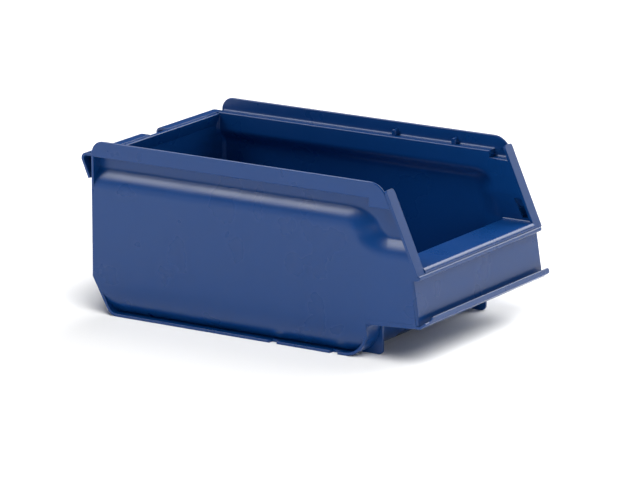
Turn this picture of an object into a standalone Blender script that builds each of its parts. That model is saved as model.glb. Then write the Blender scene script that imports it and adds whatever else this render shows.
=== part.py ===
"""Stackable storage bin: one blue polypropylene moulding, modelled feature by feature.

Frame: +Z up, the open picking front faces -Y, the hanging hooks are at +Y.
The origin is the centre of the bounding box on the floor. Units are metres.
"""

import math

import bmesh
import bpy
from mathutils import Matrix

MM = 0.001

# Driving sizes.
WIDTH = 206 * MM
HEIGHT = 155 * MM
LENGTH = 350 * MM
WALL = 2.5 * MM
GAP = 0.3 * MM

# Stations along the length.
REAR = 163 * MM
FRONT = -LENGTH / 2
HOOK_REACH = LENGTH / 2
LEDGE_STEP = -118 * MM
LABEL_TOP = -162.5 * MM
LABEL_BOTTOM = -166.3 * MM

SHELF_REAR = -138 * MM
STEP_REAR = -108 * MM
STEP_FRONT = -124 * MM

# Heights.
LEDGE_TOP = 143 * MM
LOW_LEDGE_TOP = 137 * MM
RIM_TOP = 146 * MM
SHELF_TOP = 84 * MM
PANEL_TOP = 116 * MM
WAIST_BOTTOM = 129 * MM
CHEEK_TOP = 90 * MM
CHEEK_WAIST = 109 * MM
HAUNCH_TOP = 34 * MM
LIP_BOTTOM = 36 * MM
LIP_KNEE = 41 * MM
LIP_TOP = 46.5 * MM
REAR_RIM_FOOT = 138 * MM
REAR_RIM_TOP = 142 * MM
LOWER_BEAD_FOOT = 75.5 * MM
LOWER_BEAD_TOP = 79.7 * MM
UPPER_BEAD_TOP = 84.4 * MM
RIM_FOOT_Z = LOWER_BEAD_TOP + GAP

# Half widths.
SIDE = WIDTH / 2
WAIST = 93.5 * MM
RUNNER_EDGE = 99.5 * MM
FLOOR_EDGE = 78 * MM

# The base band: rear slope, floor and the prow that curves up at the front.
SLOPE_FOOT = 147 * MM
FLOOR_REAR = 141 * MM
PROW_START = -92 * MM
PROW_DEPTH = 24.5 * MM
PROW_RISE = 28 * MM
PROW_TOP = 31.5 * MM

# The sloping front rim runs along y = RIM_FOOT + RIM_LEAN * z.
RIM_FOOT = -202.6 * MM
RIM_LEAN = 0.4466
RIM_INNER = 91 * MM

# The double bead and the label lip along the front.
BEAD_FRONT = -168 * MM
BEAD_DEPTH = 4.5 * MM
LIP_REAR = -163 * MM
LIP_WALL = 2 * MM
LIP_CUTBACK = 10 * MM
LIP_FOOT = -169.8 * MM
LIP_FOOT_INSIDE = -168.3 * MM
LIP_KNEE_INSIDE = 42.5 * MM
ENTRY_KNEE = 40.2 * MM
UPPER_BEAD_FRONT = -166.5 * MM
SKIRT_WIDTH = 9 * MM

# The slot beside each sloping rim, and the thick rim across the back.
SLOT_FOOT = 86.8 * MM
SLOT_HEAD = 104 * MM
SLOT_WIDTH = 4.8 * MM
SLOT_SETBACK = 1.2 * MM
REAR_RIM_DEPTH = 4.5 * MM

# Repeated features.
NUB_STATIONS = {"rear": -21 * MM, "front": -82 * MM}
NUB_LENGTH = 5 * MM
NUB_HEIGHT = 4.8 * MM
NUB_INNER = 93.5 * MM
NUB_OUTER = 98.5 * MM
NOTCH_LENGTH = 9 * MM
NOTCH_DEPTH = 5 * MM
HOOK_INNER_END = 16 * MM
HOOK_OUTER_END = 97 * MM
HOOK_TOP = 144.5 * MM
HOOK_TIP = 118 * MM
HOOK_FALL = 0.8 * MM
HOOK_NOSE = 136.5 * MM
HOOK_TIP_REACH = 5 * MM

# The raised stacking flange, and the short ribs under the front, set at unlike distances.
FLANGE_REAR_RADIUS = 12 * MM
FLANGE_FRONT_RADIUS = 18 * MM
FLANGE_LOW_FOOT = 133.2 * MM
RIB_REAR = -99 * MM
RIB_FRONT = -119 * MM
RIB_TOP_ANGLE = -105
RIB_STATIONS = {"left": 78 * MM, "right": 89.5 * MM}
RIB_CORNER = 4 * MM

# Each rounded haunch is three strips, between these angles in degrees round its centre.
HAUNCH_STRIPS = {"lower": (-90, -60.4), "middle": (-59.6, -30.4), "upper": (-29.6, 0)}

ARC_STEPS = 6
SIDES = {"left": -1, "right": 1}

BLUE = (0.040, 0.082, 0.215, 1.0)
ROUGHNESS = 0.42


def clear_scene():
    for obj in list(bpy.data.objects):
        bpy.data.objects.remove(obj, do_unlink=True)


def new_collection(name):
    collection = bpy.data.collections.new(name)
    bpy.context.scene.collection.children.link(collection)
    return collection


def moulded_blue(name):
    """The blue moulding compound, as a material of this sub-part's own."""
    material = bpy.data.materials.new(name + "_plastic")
    material.use_nodes = True
    shader = material.node_tree.nodes["Principled BSDF"]
    shader.inputs["Base Color"].default_value = BLUE
    shader.inputs["Roughness"].default_value = ROUGHNESS
    shader.inputs["Metallic"].default_value = 0.0
    return material


def rounded(corners):
    """Turns (x, y, radius) corners of a closed outline into points, with arcs at the rounded ones."""
    points = []
    count = len(corners)
    for index, (x, y, radius) in enumerate(corners):
        if radius == 0:
            points.append((x, y))
            continue
        before = corners[index - 1]
        after = corners[(index + 1) % count]
        back = math.atan2(before[1] - y, before[0] - x)
        ahead = math.atan2(after[1] - y, after[0] - x)
        half = abs(math.remainder(ahead - back, math.tau)) / 2
        middle = back + math.remainder(ahead - back, math.tau) / 2
        reach = radius / math.sin(half)
        centre = (x + reach * math.cos(middle), y + reach * math.sin(middle))
        tangent = radius / math.tan(half)
        start = (x + tangent * math.cos(back), y + tangent * math.sin(back))
        end = (x + tangent * math.cos(ahead), y + tangent * math.sin(ahead))
        first = math.atan2(start[1] - centre[1], start[0] - centre[0])
        last = math.atan2(end[1] - centre[1], end[0] - centre[0])
        sweep = math.remainder(last - first, math.tau)
        for step in range(ARC_STEPS + 1):
            angle = first + sweep * step / ARC_STEPS
            points.append((centre[0] + radius * math.cos(angle), centre[1] + radius * math.sin(angle)))
    return points


def quarter(centre, across, rise, start, end):
    """Points on an ellipse round a centre, from one angle to another in degrees."""
    points = []
    for step in range(2 * ARC_STEPS + 1):
        angle = math.radians(start + (end - start) * step / (2 * ARC_STEPS))
        points.append((centre[0] + across * math.cos(angle), centre[1] + rise * math.sin(angle)))
    return points


def outline_solid(name, points, low, high, frame, collection):
    """A flat outline given thickness between two levels of its own frame, as one closed mesh."""
    curve = bpy.data.curves.new(name + "_outline", "CURVE")
    curve.dimensions = "2D"
    curve.fill_mode = "BOTH"
    curve.extrude = abs(high - low) / 2
    spline = curve.splines.new("POLY")
    spline.points.add(len(points) - 1)
    for point, (x, y) in zip(spline.points, points):
        point.co = (x, y, 0.0, 1.0)
    spline.use_cyclic_u = True
    drawn = bpy.data.objects.new(name + "_outline", curve)
    drawn.matrix_world = frame @ Matrix.Translation((0, 0, (low + high) / 2))
    collection.objects.link(drawn)
    bpy.context.view_layer.update()
    graph = bpy.context.evaluated_depsgraph_get()
    mesh = bpy.data.meshes.new_from_object(drawn.evaluated_get(graph))
    shape = bmesh.new()
    shape.from_mesh(mesh)
    bmesh.ops.remove_doubles(shape, verts=shape.verts, dist=1e-6)
    bmesh.ops.recalc_face_normals(shape, faces=shape.faces)
    shape.to_mesh(mesh)
    shape.free()
    mesh.name = name
    mesh.materials.clear()
    solid = bpy.data.objects.new(name, mesh)
    solid.matrix_world = drawn.matrix_world.copy()
    bpy.data.objects.remove(drawn, do_unlink=True)
    collection.objects.link(solid)
    mesh.materials.append(moulded_blue(name))
    return solid


# Outline frames: (along Y, up Z) seen from the side, (along X, up Z) seen from the front.
SIDE_FRAME = Matrix(((0, 0, 1, 0), (1, 0, 0, 0), (0, 1, 0, 0), (0, 0, 0, 1)))
FRONT_FRAME = Matrix(((1, 0, 0, 0), (0, 0, -1, 0), (0, 1, 0, 0), (0, 0, 0, 1)))


def side_plate(name, outline, x_a, x_b, collection):
    """An outline of (y, z) points, as thick as the stretch from x_a to x_b."""
    return outline_solid(name, outline, min(x_a, x_b), max(x_a, x_b), SIDE_FRAME, collection)


def long_strip(name, section, y_a, y_b, collection):
    """A cross-section of (x, z) points, running along the bin from y_a to y_b."""
    return outline_solid(name, section, min(-y_a, -y_b), max(-y_a, -y_b), FRONT_FRAME, collection)


def level_plate(name, plan, z_low, z_high, collection):
    """A plan outline of (x, y) points, lying flat between two heights."""
    return outline_solid(name, plan, z_low, z_high, Matrix.Identity(4), collection)


def block(name, low, high, collection):
    """A plain block between two corners."""
    mesh = bpy.data.meshes.new(name)
    shape = bmesh.new()
    bmesh.ops.create_cube(shape, size=1.0)
    bmesh.ops.scale(shape, vec=[b - a for a, b in zip(low, high)], verts=shape.verts)
    bmesh.ops.translate(shape, vec=[(a + b) / 2 for a, b in zip(low, high)], verts=shape.verts)
    shape.to_mesh(mesh)
    shape.free()
    solid = bpy.data.objects.new(name, mesh)
    collection.objects.link(solid)
    mesh.materials.append(moulded_blue(name))
    return solid


def loft(name, sections, collection):
    """A solid through a row of sections with the same number of (x, y, z) points."""
    mesh = bpy.data.meshes.new(name)
    shape = bmesh.new()
    rings = [[shape.verts.new(point) for point in section] for section in sections]
    count = len(sections[0])
    for ring, following in zip(rings, rings[1:]):
        for corner in range(count):
            beside = (corner + 1) % count
            shape.faces.new((ring[corner], ring[beside], following[beside], following[corner]))
    shape.faces.new(rings[0])
    shape.faces.new(rings[-1])
    bmesh.ops.recalc_face_normals(shape, faces=shape.faces)
    shape.to_mesh(mesh)
    shape.free()
    solid = bpy.data.objects.new(name, mesh)
    collection.objects.link(solid)
    mesh.materials.append(moulded_blue(name))
    return solid


def as_cutter(solid):
    solid.hide_render = True
    solid.display_type = "WIRE"
    return solid


def combine(solid, cutter, operation):
    boolean = solid.modifiers.new(operation.title() + "_" + cutter.name, "BOOLEAN")
    boolean.operation = operation
    boolean.solver = "EXACT"
    boolean.object = cutter


def mirrored(section):
    """The same (x, z) section on the other side of the bin."""
    return [(-x, z) for x, z in reversed(section)]


def on_side(section, sign):
    return section if sign > 0 else mirrored(section)


def rim_y(z):
    """Front face of the sloping rim at a height."""
    return RIM_FOOT + RIM_LEAN * z


def behind_rim(z):
    """Where a plate that butts on the back of the sloping rim ends at a height."""
    return rim_y(z) + WALL / math.cos(math.atan(RIM_LEAN)) + GAP


def label_y(z):
    """Front face of the label panel at a height, leaning forward towards its foot."""
    top = SHELF_TOP - WALL
    share = (top - z) / (top - LIP_BOTTOM)
    return LABEL_TOP + (LABEL_BOTTOM - LABEL_TOP) * share


def base_band(inset):
    """The side outline of the base, a given distance inside its outer face: rear, floor, prow."""
    rear = REAR - inset
    slope = (REAR - SLOPE_FOOT) / HAUNCH_TOP
    foot = SLOPE_FOOT - inset * (math.hypot(1, slope) - slope)
    points = [(rear, HAUNCH_TOP), (foot, inset)]
    centre = (PROW_START, PROW_RISE)
    points += quarter(centre, PROW_DEPTH - inset, PROW_RISE - inset, -90, -180)
    points.append((PROW_START - PROW_DEPTH + inset, PROW_TOP))
    return points


def band_outline():
    return base_band(0) + list(reversed(base_band(WALL)))


def floor_panels(collection):
    """Flat floor, rear slope and front prow between the two runners."""
    edge = FLOOR_EDGE - GAP
    floor = [(FLOOR_REAR, 0), (FLOOR_REAR, WALL), (PROW_START, WALL), (PROW_START, 0)]
    side_plate("floor_panel", floor, -edge, edge, collection)
    rear_y = FLOOR_REAR + GAP
    outer = base_band(0)
    inner = base_band(WALL)
    slope = [outer[0], outer[1], (rear_y, 0), (rear_y, WALL), inner[1], inner[0]]
    side_plate("rear_slope_panel", slope, -edge, edge, collection)
    prow = [(y - GAP, z) for y, z in outer[2:]] + [(y - GAP, z) for y, z in reversed(inner[2:])]
    side_plate("front_prow_panel", prow, -edge, edge, collection)


def stacking_runner(side, sign, parts, cutters):
    """The lip round the foot of the side, with a notch over each nub of the bin below."""
    runner = side_plate(side + "_stacking_runner", band_outline(), sign * FLOOR_EDGE, sign * RUNNER_EDGE, parts)
    for place, station in NUB_STATIONS.items():
        low = (RUNNER_EDGE - NOTCH_DEPTH, station - NOTCH_LENGTH / 2, -WALL)
        high = (RUNNER_EDGE + NOTCH_DEPTH, station + NOTCH_LENGTH / 2, 2 * WALL)
        xs = sorted((sign * low[0], sign * high[0]))
        cutter = block(
            side + "_" + place + "_notch", (xs[0], low[1], low[2]), (xs[1], high[1], high[2]), cutters
        )
        combine(runner, as_cutter(cutter), "DIFFERENCE")


def haunch(side, sign, parts, cutters):
    """The rounded stretch between the floor and the flat side, in three strips inside the runner."""
    centre = (FLOOR_EDGE, HAUNCH_TOP - GAP)
    across = SIDE - FLOOR_EDGE
    rise = HAUNCH_TOP - WALL - 2 * GAP
    inside = base_band(WALL + GAP)
    reach = PROW_START - PROW_DEPTH + WALL + GAP
    limit = [(REAR - WALL - GAP, HAUNCH_TOP + WALL)] + inside[:-1] + [(reach, HAUNCH_TOP + WALL)]
    for place, (start, end) in HAUNCH_STRIPS.items():
        name = f"{side}_{place}_haunch"
        outer = quarter(centre, across, rise, start, end)
        inner = quarter(centre, across - WALL, rise - WALL, end, start)
        solid = long_strip(name, on_side(outer + inner, sign), REAR, PROW_START - PROW_DEPTH, parts)
        keep = side_plate(name + "_limit", limit, sign * (FLOOR_EDGE - WALL), sign * 2 * SIDE, cutters)
        combine(solid, as_cutter(keep), "INTERSECT")


def side_panel(side, sign, collection):
    """The flat bulged side, running forward as the cheek below the sloping rim."""
    rear = REAR - WALL - GAP
    foot = LIP_BOTTOM + WALL + GAP
    bead_back = label_y(LOWER_BEAD_FOOT) + WALL + GAP
    outline = [
        (rear, HAUNCH_TOP),
        (rear, PANEL_TOP),
        (STEP_REAR, PANEL_TOP),
        (STEP_FRONT, CHEEK_TOP),
        (behind_rim(CHEEK_TOP), CHEEK_TOP),
        (behind_rim(RIM_FOOT_Z), RIM_FOOT_Z),
        (bead_back, RIM_FOOT_Z),
        (bead_back, LOWER_BEAD_FOOT - GAP),
        (label_y(foot) + WALL + GAP, foot),
        (PROW_START - PROW_DEPTH, HAUNCH_TOP + GAP),
    ]
    side_plate(side + "_side_panel", outline, sign * (SIDE - WALL), sign * SIDE, collection)


def shoulder_section(sign, y_of, foot, head, inner):
    """One (x, y, z) section of the shoulder strip, from the bulged side up to the waist."""
    section = [
        (SIDE, foot + GAP),
        (SIDE, foot + WALL),
        (inner + WALL, head - GAP),
        (inner, head - GAP),
        (inner, head - WALL),
        (SIDE - WALL, foot + GAP),
    ]
    return [(sign * x, y_of(z), z) for x, z in section]


def shoulder(side, sign, collection):
    """The sloping strip between the bulged side and the waist, stepping down before the front."""
    waist_inner = WAIST - WALL
    sections = [
        shoulder_section(sign, lambda z: REAR - WALL - GAP, PANEL_TOP, WAIST_BOTTOM, waist_inner),
        shoulder_section(sign, lambda z: STEP_REAR, PANEL_TOP, WAIST_BOTTOM, waist_inner),
        shoulder_section(sign, lambda z: STEP_FRONT, CHEEK_TOP, CHEEK_WAIST, WAIST + GAP),
        shoulder_section(sign, behind_rim, CHEEK_TOP, CHEEK_WAIST, WAIST + GAP),
    ]
    loft(side + "_shoulder", sections, collection)


def waist_wall(side, sign, parts, cutters):
    """The recessed upper wall under the ledge, going down to the shelf at the front, with its slot."""
    rear = REAR - WALL - GAP
    foot = SHELF_TOP + GAP
    head = LEDGE_TOP - WALL - GAP
    low_head = LOW_LEDGE_TOP - WALL - GAP
    step = LEDGE_STEP + WALL + GAP
    outline = [
        (rear, WAIST_BOTTOM),
        (STEP_REAR, WAIST_BOTTOM),
        (STEP_FRONT - GAP, CHEEK_WAIST),
        (STEP_FRONT - GAP, foot),
        (behind_rim(foot), foot),
        (behind_rim(low_head), low_head),
        (step, low_head),
        (step, head),
        (rear, head),
    ]
    wall = side_plate(side + "_waist_wall", outline, sign * (WAIST - WALL), sign * WAIST, parts)
    slot = [
        (behind_rim(SLOT_FOOT) + SLOT_SETBACK, SLOT_FOOT),
        (behind_rim(SLOT_HEAD) + SLOT_SETBACK, SLOT_HEAD),
        (behind_rim(SLOT_HEAD) + SLOT_SETBACK + SLOT_WIDTH, SLOT_HEAD),
        (behind_rim(SLOT_FOOT) + SLOT_SETBACK + SLOT_WIDTH, SLOT_FOOT),
    ]
    cutter = side_plate(side + "_slot", slot, sign * (WAIST - 2 * WALL), sign * (WAIST + WALL), cutters)
    combine(wall, as_cutter(cutter), "DIFFERENCE")


def ledge(side, sign, parts, cutters):
    """The flat ledge that the next bin slides on, lower over the last stretch before the rim."""
    foot = LEDGE_TOP - WALL
    low_foot = LOW_LEDGE_TOP - WALL
    outline = [
        (REAR, foot),
        (REAR, LEDGE_TOP),
        (LEDGE_STEP, LEDGE_TOP),
        (LEDGE_STEP, LOW_LEDGE_TOP),
        (behind_rim(LOW_LEDGE_TOP), LOW_LEDGE_TOP),
        (behind_rim(low_foot), low_foot),
        (LEDGE_STEP + WALL, low_foot),
        (LEDGE_STEP + WALL, foot),
    ]
    plate = side_plate(
        side + "_ledge", outline, sign * (WAIST - WALL), sign * (SIDE - WALL - GAP), parts
    )
    for place in NUB_STATIONS:
        low, high = nub_corners(sign, place, GAP, LEDGE_TOP - 2 * WALL, LEDGE_TOP + WALL)
        combine(plate, as_cutter(block(side + "_" + place + "_nub_seat", low, high, cutters)), "DIFFERENCE")


def stacking_flange(side, sign, collection):
    """The raised outer edge with its two rounded corners."""
    foot = LEDGE_TOP - WALL - GAP
    outline = rounded([
        (REAR, foot, 0),
        (REAR, HEIGHT, FLANGE_REAR_RADIUS),
        (behind_rim(HEIGHT), HEIGHT, FLANGE_FRONT_RADIUS),
        (behind_rim(FLANGE_LOW_FOOT), FLANGE_LOW_FOOT, 0),
        (LEDGE_STEP, FLANGE_LOW_FOOT, 0),
        (LEDGE_STEP, foot, 0),
    ])
    side_plate(side + "_stacking_flange", outline, sign * (SIDE - WALL), sign * SIDE, collection)


def front_rim(side, sign, collection):
    """The sloping land that frames the open front."""
    back = WALL / math.cos(math.atan(RIM_LEAN))
    outline = [
        (rim_y(RIM_FOOT_Z), RIM_FOOT_Z),
        (rim_y(RIM_TOP), RIM_TOP),
        (rim_y(RIM_TOP) + back, RIM_TOP),
        (rim_y(RIM_FOOT_Z) + back, RIM_FOOT_Z),
    ]
    side_plate(side + "_front_rim", outline, sign * RIM_INNER, sign * SIDE, collection)


def cheek_skirt(side, sign, collection):
    """The lip along the foot of the cheek, rising to the label lip."""
    rear = PROW_START - PROW_DEPTH - GAP
    outline = [
        (rear, PROW_TOP),
        (rear, PROW_TOP + WALL),
        (LIP_REAR + GAP, LIP_BOTTOM + WALL - GAP),
        (LIP_REAR + GAP, LIP_BOTTOM - GAP),
    ]
    side_plate(side + "_cheek_skirt", outline, sign * (SIDE - SKIRT_WIDTH), sign * SIDE, collection)


def nub_corners(sign, place, clearance, foot, head):
    """The two corners of a nub, or of its seat in the ledge when given a clearance."""
    station = NUB_STATIONS[place]
    half = NUB_LENGTH / 2 + clearance
    xs = sorted((sign * (NUB_INNER - clearance), sign * (NUB_OUTER + clearance)))
    return (xs[0], station - half, foot), (xs[1], station + half, head)


def stacking_nubs(side, sign, collection):
    """Two small blocks through the ledge that stop the bin above from sliding."""
    foot = LEDGE_TOP - WALL + GAP
    for place in NUB_STATIONS:
        low, high = nub_corners(sign, place, 0, foot, LEDGE_TOP + NUB_HEIGHT)
        block(side + "_" + place + "_nub", low, high, collection)


def hanging_hook(side, sign, collection):
    """Half of the rear hook: out from the rim, then down and back in towards the wall."""
    inside = HOOK_REACH - WALL
    outline = rounded([
        (REAR + GAP, HOOK_TOP, 0),
        (HOOK_REACH, HOOK_TOP - HOOK_FALL, 2 * WALL),
        (HOOK_REACH, HOOK_NOSE, 4 * MM),
        (REAR + HOOK_TIP_REACH, HOOK_TIP, 0),
        (REAR + HOOK_TIP_REACH - WALL, HOOK_TIP + HOOK_FALL, 0),
        (inside, HOOK_NOSE + HOOK_FALL, WALL),
        (inside, HOOK_TOP - HOOK_FALL - WALL, 2 * MM),
        (REAR + GAP, HOOK_TOP - WALL, 0),
    ])
    side_plate(side + "_hanging_hook", outline, sign * HOOK_INNER_END, sign * HOOK_OUTER_END, collection)


def back(collection):
    """The back wall, whose edges stand out as fins beside the recessed waists, and its thick top rim."""
    head = LEDGE_TOP - WALL - 2 * GAP
    rim_inner = RIM_INNER - GAP
    outline = [
        (-SIDE, HAUNCH_TOP + GAP),
        (SIDE, HAUNCH_TOP + GAP),
        (SIDE, head),
        (rim_inner, head),
        (rim_inner, REAR_RIM_FOOT - GAP),
        (-rim_inner, REAR_RIM_FOOT - GAP),
        (-rim_inner, head),
        (-SIDE, head),
    ]
    long_strip("back_wall", outline, REAR - WALL, REAR, collection)
    low = (-rim_inner, REAR - REAR_RIM_DEPTH, REAR_RIM_FOOT)
    block("rear_rim", low, (rim_inner, REAR, REAR_RIM_TOP), collection)


def front_wall_and_shelf(collection):
    """The leaning inner front wall and the flat shelf on top of it."""
    inside = SIDE - WALL - GAP
    foot_y = PROW_START - PROW_DEPTH
    foot = PROW_TOP + WALL + 2 * GAP
    head = SHELF_TOP - WALL - GAP
    outline = [(foot_y, foot), (foot_y + WALL, foot), (SHELF_REAR + WALL, head), (SHELF_REAR, head)]
    side_plate("inner_front_wall", outline, -inside, inside, collection)
    rim_inner = RIM_INNER - GAP
    bead_back = BEAD_FRONT + BEAD_DEPTH
    beside_rim = behind_rim(SHELF_TOP)
    shelf = [
        (-inside, SHELF_REAR + WALL),
        (-inside, beside_rim),
        (-rim_inner, beside_rim),
        (-rim_inner, bead_back),
        (rim_inner, bead_back),
        (rim_inner, beside_rim),
        (inside, beside_rim),
        (inside, SHELF_REAR + WALL),
    ]
    level_plate("front_shelf", shelf, SHELF_TOP - WALL, SHELF_TOP, collection)


def label_holder(collection):
    """The double bead, the label panel below it, and the lip that carries the label card."""
    rim_inner = RIM_INNER - GAP
    upper_low = (-rim_inner, UPPER_BEAD_FRONT, LOWER_BEAD_TOP + GAP)
    upper_high = (rim_inner, BEAD_FRONT + BEAD_DEPTH - GAP, UPPER_BEAD_TOP)
    block("upper_front_bead", upper_low, upper_high, collection)
    lower_high = (SIDE, BEAD_FRONT + BEAD_DEPTH, LOWER_BEAD_TOP)
    block("lower_front_bead", (-SIDE, BEAD_FRONT, LOWER_BEAD_FOOT), lower_high, collection)
    head = LOWER_BEAD_FOOT - GAP
    foot = LIP_BOTTOM + WALL + GAP
    panel = [
        (label_y(head), head),
        (label_y(foot), foot),
        (label_y(foot) + WALL, foot),
        (label_y(head) + WALL, head),
    ]
    side_plate("label_panel", panel, -SIDE, SIDE, collection)
    root = [(LIP_FOOT, LIP_BOTTOM), (LIP_REAR, LIP_BOTTOM), (LIP_REAR, LIP_BOTTOM + WALL)]
    root += [(LIP_FOOT_INSIDE, LIP_BOTTOM + WALL)]
    lip = root + [
        (FRONT + LIP_WALL, LIP_KNEE_INSIDE),
        (FRONT + LIP_WALL, LIP_TOP),
        (FRONT, LIP_TOP),
        (FRONT, LIP_KNEE),
    ]
    side_plate("label_lip", lip, -SIDE + LIP_CUTBACK, SIDE, collection)
    entry = root + [(FRONT + WALL, LIP_KNEE_INSIDE), (FRONT + WALL, ENTRY_KNEE)]
    side_plate("label_lip_entry", entry, -SIDE, -SIDE + LIP_CUTBACK - GAP, collection)


def foot_rib(side, sign, collection):
    """A short rib that stands under the prow, with its front corner rounded."""
    centre = (PROW_START, PROW_RISE)
    curve = quarter(centre, PROW_DEPTH + GAP, PROW_RISE + GAP, -180, RIB_TOP_ANGLE)
    corner = quarter((RIB_FRONT + RIB_CORNER, RIB_CORNER), RIB_CORNER, RIB_CORNER, -90, -180)
    outline = corner + [(RIB_FRONT, PROW_RISE)] + curve + [(RIB_REAR, 0)]
    inner = sign * RIB_STATIONS[side]
    side_plate(side + "_foot_rib", outline, inner, inner + sign * WALL, collection)


def main():
    clear_scene()
    parts = new_collection("stackable_storage_bin")
    cutters = new_collection("cutters")
    floor_panels(parts)
    back(parts)
    front_wall_and_shelf(parts)
    label_holder(parts)
    for side, sign in SIDES.items():
        foot_rib(side, sign, parts)
        stacking_runner(side, sign, parts, cutters)
        haunch(side, sign, parts, cutters)
        side_panel(side, sign, parts)
        shoulder(side, sign, parts)
        waist_wall(side, sign, parts, cutters)
        ledge(side, sign, parts, cutters)
        stacking_flange(side, sign, parts)
        front_rim(side, sign, parts)
        cheek_skirt(side, sign, parts)
        stacking_nubs(side, sign, parts)
        hanging_hook(side, sign, parts)


main()
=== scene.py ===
"""Builds the looks of a hang-and-stack storage bin around its fixed frame.

Every piece is a stretch of one polypropylene moulding, so each meets its neighbours or overlaps them by
about a wall, and all share one material. Frame: +Z up, the open picking front faces -Y, the hanging
hooks are at +Y. Units are metres, and left is -X.
"""

import math

import bmesh
import bpy
import numpy as np
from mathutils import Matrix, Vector


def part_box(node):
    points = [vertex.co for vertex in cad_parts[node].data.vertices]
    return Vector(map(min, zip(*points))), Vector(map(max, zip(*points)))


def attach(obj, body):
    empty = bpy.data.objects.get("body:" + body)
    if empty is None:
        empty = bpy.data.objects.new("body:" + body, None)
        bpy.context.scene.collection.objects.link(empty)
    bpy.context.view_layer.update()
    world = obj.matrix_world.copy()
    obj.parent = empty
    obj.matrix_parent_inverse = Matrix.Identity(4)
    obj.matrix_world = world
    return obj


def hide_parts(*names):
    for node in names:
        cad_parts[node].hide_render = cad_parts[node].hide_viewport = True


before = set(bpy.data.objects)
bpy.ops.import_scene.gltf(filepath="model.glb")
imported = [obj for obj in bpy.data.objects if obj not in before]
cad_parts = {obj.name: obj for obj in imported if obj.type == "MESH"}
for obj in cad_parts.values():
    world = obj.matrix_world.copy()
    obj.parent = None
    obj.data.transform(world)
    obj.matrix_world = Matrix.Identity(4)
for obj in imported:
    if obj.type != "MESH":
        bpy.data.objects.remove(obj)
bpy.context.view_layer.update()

bl_info = {
    "name": "Stacking Bin",
    "version": (1, 0, 0),
    "blender": (4, 5, 0),
    "location": "3D View > Sidebar > Bin",
    "description": "Builds the moulded walls, rims and label holder of a stacking storage bin",
    "category": "Add Mesh",
}

MM = 0.001
SIDES = {"left": -1, "right": 1}
BODY = "root"


def low(node):
    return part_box(node)[0]


def high(node):
    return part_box(node)[1]


# Half widths, from the frame.
SIDE = high("right_side_panel").x
WAIST = high("right_waist_wall").x
RUNNER_EDGE = high("right_stacking_runner").x
RIM_INNER = low("right_front_rim").x
FLANGE_INNER = low("right_stacking_flange").x

# Stations along the length, from the frame.
REAR = high("back_wall").y
FRONT = low("label_lip").y
HOOK_REACH = high("left_hanging_hook").y
BEAD_FRONT = low("lower_front_bead").y
BEAD_BACK = high("lower_front_bead").y
SHELF_REAR = high("front_shelf").y
LIP_LEFT_END = low("label_lip").x
PROW_FRONT = low("front_prow_panel").y

# Heights, from the frame.
WALL = high("floor_panel").z
LEDGE_TOP = high("left_ledge").z
FLANGE_TOP = high("left_stacking_flange").z
FLANGE_LOW_FOOT = low("left_stacking_flange").z
LOW_LEDGE_TOP = low("left_ledge").z + WALL
SHELF_TOP = high("front_shelf").z
HAUNCH_TOP = low("left_side_panel").z
BEAD_FOOT = low("lower_front_bead").z
BEAD_TOP = high("lower_front_bead").z
UPPER_BEAD_TOP = high("upper_front_bead").z
PROW_TOP = high("front_prow_panel").z
HOOK_TIP = low("left_hanging_hook").z
RIB_FRONT = low("left_foot_rib").y
RIB_REAR = high("left_foot_rib").y
RIB_TOP = high("left_foot_rib").z

# The label lip stands a little lower than its solids in the frame.
LIP_BOTTOM = low("label_lip").z - 1.5 * MM
LIP_TOP = high("label_lip").z - 2.7 * MM

# Where features turn, in the moulding's own measures.
LEDGE_STEP = -120.5 * MM
FLANGE_STEP = -118 * MM
PROW_START = -92 * MM
SLOPE_FOOT = 147 * MM
RIM_FOOT = -202.6 * MM
RIM_LEAN = 0.4466
RIM_HEAD = 149.5 * MM
RIM_BACK = WALL * math.hypot(1, RIM_LEAN)
LABEL_TOP = -161.5 * MM
LABEL_BOTTOM = -168.4 * MM
HEM_HEIGHT = 4 * MM
BEAD_END_RADIUS = 3 * MM

# The shoulder bends in over this depth, up to the waist; its foot steps down before the front.
SHOULDER_DEPTH = 17 * MM
SHOULDER_HEAD = 129.5 * MM
FRONT_SHOULDER_HEAD = 107 * MM
SHOULDER_STEP = -125 * MM

# The haunch, its flare over the runner, and the inner face beside the shelf.
HAUNCH_DEPTH = 19 * MM
FLARE = 4 * MM
SHELF_SIDE = 94.5 * MM

# The nubs stand on the ledge, against the flange.
NUB_INNER = 95 * MM
NUB_TOP = 148.5 * MM
NUB_LENGTH = 4.6 * MM

# The label lip's crest at the low entry for a card, and the front of its foot.
ENTRY_CREST = 40.6 * MM
LIP_FOOT_FRONT = -169.8 * MM

# The hooks behind the back wall, and the height where they turn back in.
HOOK_CROWN = 142.6 * MM
HOOK_NOSE = 136.5 * MM
HOOK_INNER_END = 14 * MM
HOOK_OUTER_END = 100.5 * MM


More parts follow.
